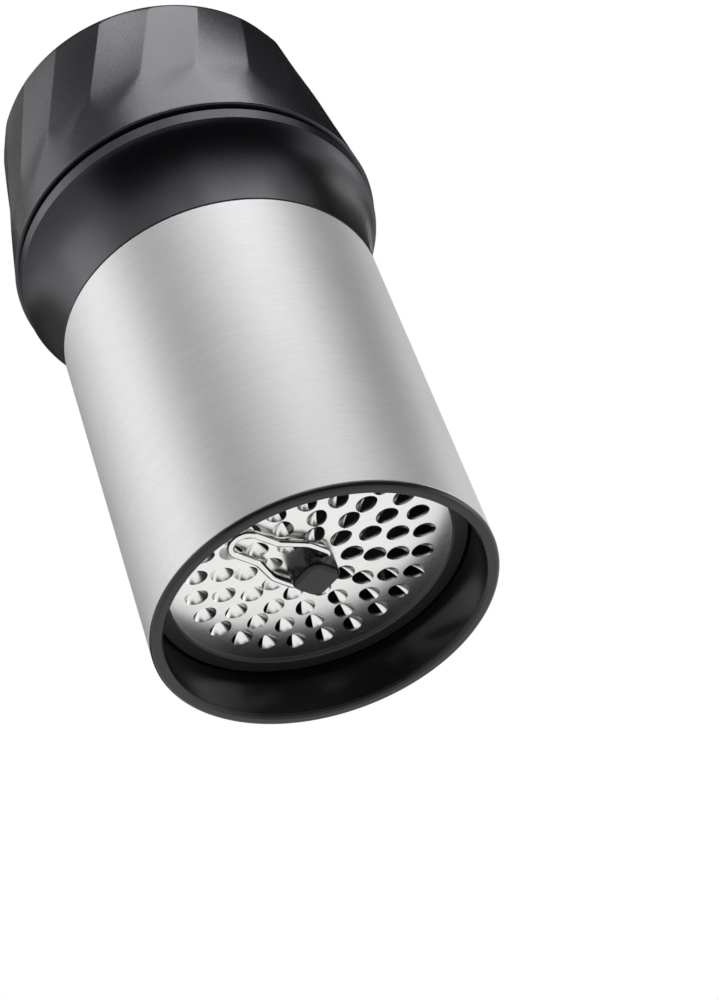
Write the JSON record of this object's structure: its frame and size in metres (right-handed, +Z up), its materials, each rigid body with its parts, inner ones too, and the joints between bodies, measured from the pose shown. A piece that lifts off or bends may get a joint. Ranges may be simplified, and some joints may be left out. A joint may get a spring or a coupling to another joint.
{
  "type": "rotary cheese grater",
  "caption": "Hand-held mill-style cheese grater: steel sleeve, turning knob on top, sprung pressure plate inside and a toothed disc in the open mouth.",
  "frame": {"origin": "centre of the flat mouth ring face that the grater stands on", "axes": "+Z up along the turning axis, from the mouth to the knob"},
  "size_m": [0.0698, 0.0698, 0.13],
  "materials": {
    "sleeve_steel": "circumferentially brushed",
    "liner_black": "gloss",
    "mouth_black": "gloss",
    "collar_black": "satin",
    "knob_black": "satin",
    "seal_rubber": "matte",
    "bearing_white": "matte",
    "inner_black": "matte",
    "small_steel": "plain",
    "spring_steel": "drawn",
    "carrier_black": "satin",
    "disc_steel": "satin",
    "hub_black": "matte",
    "wire_steel": "bright"
  },
  "bodies": {
    "casing": {"outer_sleeve": "sleeve_steel", "inner_liner": "liner_black", "mouth_ring": "mouth_black", "collar_seal": "seal_rubber"},
    "head": {"collar": "collar_black", "collar_bush": "bearing_white", "thrust_washer": "bearing_white"},
    "knob": {"knob_shell": "knob_black", "drive_tube": "inner_black", "retaining_clip": "small_steel", "knob_screws": "small_steel", "spring_guide": "inner_black"},
    "plunger": {"plunger_stem": "inner_black", "stem_clip": "small_steel", "pressure_plate": "inner_black", "plate_prongs": "small_steel", "plate_screw": "small_steel", "pressure_spring": "spring_steel"},
    "insert": {"disc_carrier": "carrier_black", "carrier_seal": "seal_rubber", "grater_disc": "disc_steel", "disc_clamp_ring": "carrier_black", "disc_hub": "hub_black", "hub_washer": "small_steel", "hub_screw": "small_steel"},
    "bail": {"bail_wire": "wire_steel"}
  },
  "joints": [
    {"name": "head_lift", "type": "slide", "parent": "casing", "child": "head", "axis": [0, 0, 1], "range_m": [0, 0.075]},
    {"name": "knob_turn", "type": "hinge", "parent": "head", "child": "knob", "pos_m": [0, 0, 0.0913], "axis": [0, 0, 1], "continuous": true},
    {"name": "plunger_press", "type": "slide", "parent": "knob", "child": "plunger", "axis": [0, 0, 1], "range_m": [0, 0.042], "stiffness_N_per_m": 150, "springref_m": -0.04, "deforming": ["pressure_spring"]},
    {"name": "insert_pull", "type": "slide", "parent": "casing", "child": "insert", "axis": [0, 0, -1], "range_m": [0, 0.035]},
    {"name": "bail_fold", "type": "hinge", "parent": "insert", "child": "bail", "pos_m": [0, 0, 0.0096], "axis": [0.8387, -0.5446, 0], "range_deg": [0, 175]}
  ]
}
